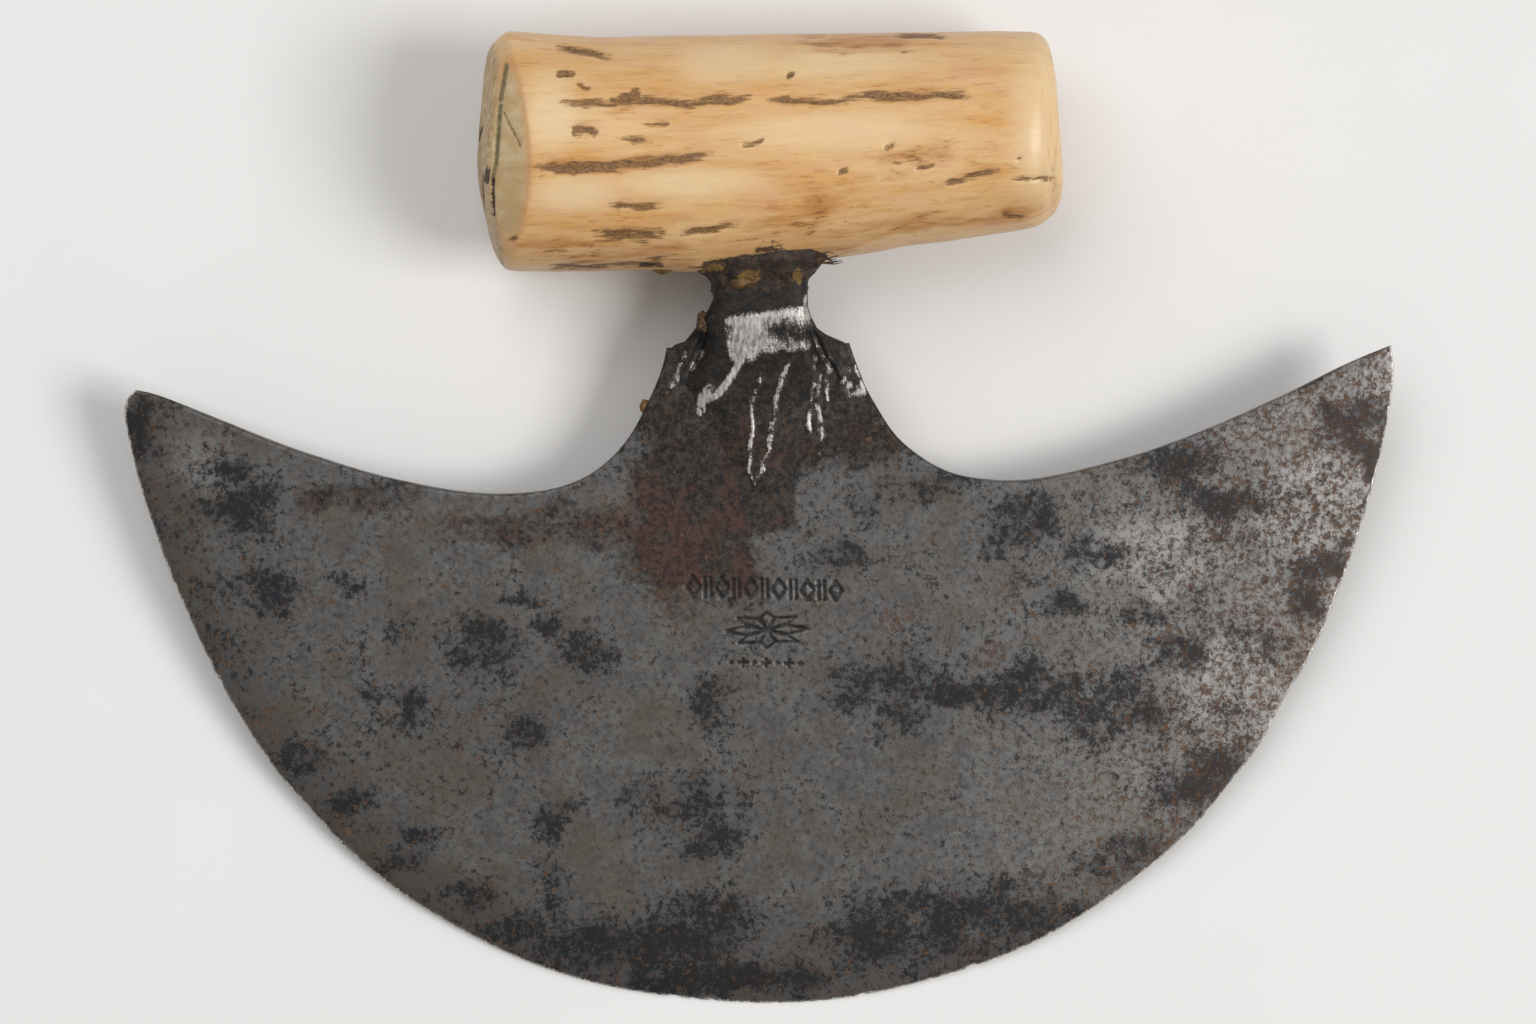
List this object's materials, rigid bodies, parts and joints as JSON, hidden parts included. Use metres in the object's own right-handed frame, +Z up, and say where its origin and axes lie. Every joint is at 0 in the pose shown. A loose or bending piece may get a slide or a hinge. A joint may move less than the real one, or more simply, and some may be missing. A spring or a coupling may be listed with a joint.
{
  "type": "head knife",
  "caption": "Leatherworking head knife lying face up: a wide crescent steel blade on a forged iron stem, with an oval bone handle set across the stem.",
  "frame": {"origin": "under the middle of the knife's bounding box, on the surface it lies on", "axes": "+X along the handle to its thin end, +Y from the cutting edge to the handle, +Z up, away from the surface it lies on; the blade rises 7.0 degrees towards the handle"},
  "size_m": [0.1908, 0.1472, 0.0337],
  "materials": {
    "blade_steel": "old steel, dulled and stained dark, with rust specks and brighter rubbed places",
    "stem_iron": "forged iron, dark brown, rubbed bright on its ridges",
    "bone": null,
    "pitch": "dark brown crusted cutler's pitch",
    "resin": "yellow dried resin",
    "tow": "frayed dark hemp fibre"
  },
  "bodies": {
    "root": {"blade": "blade_steel", "stem": "stem_iron", "handle": "bone", "pitch_bedding": "pitch", "pitch_spot_neck": "pitch", "resin_bead_joint": "resin", "resin_drip_handle": "resin", "resin_bead_shoulder": "resin", "tow_wisp": "tow"}
  },
  "joints": []
}
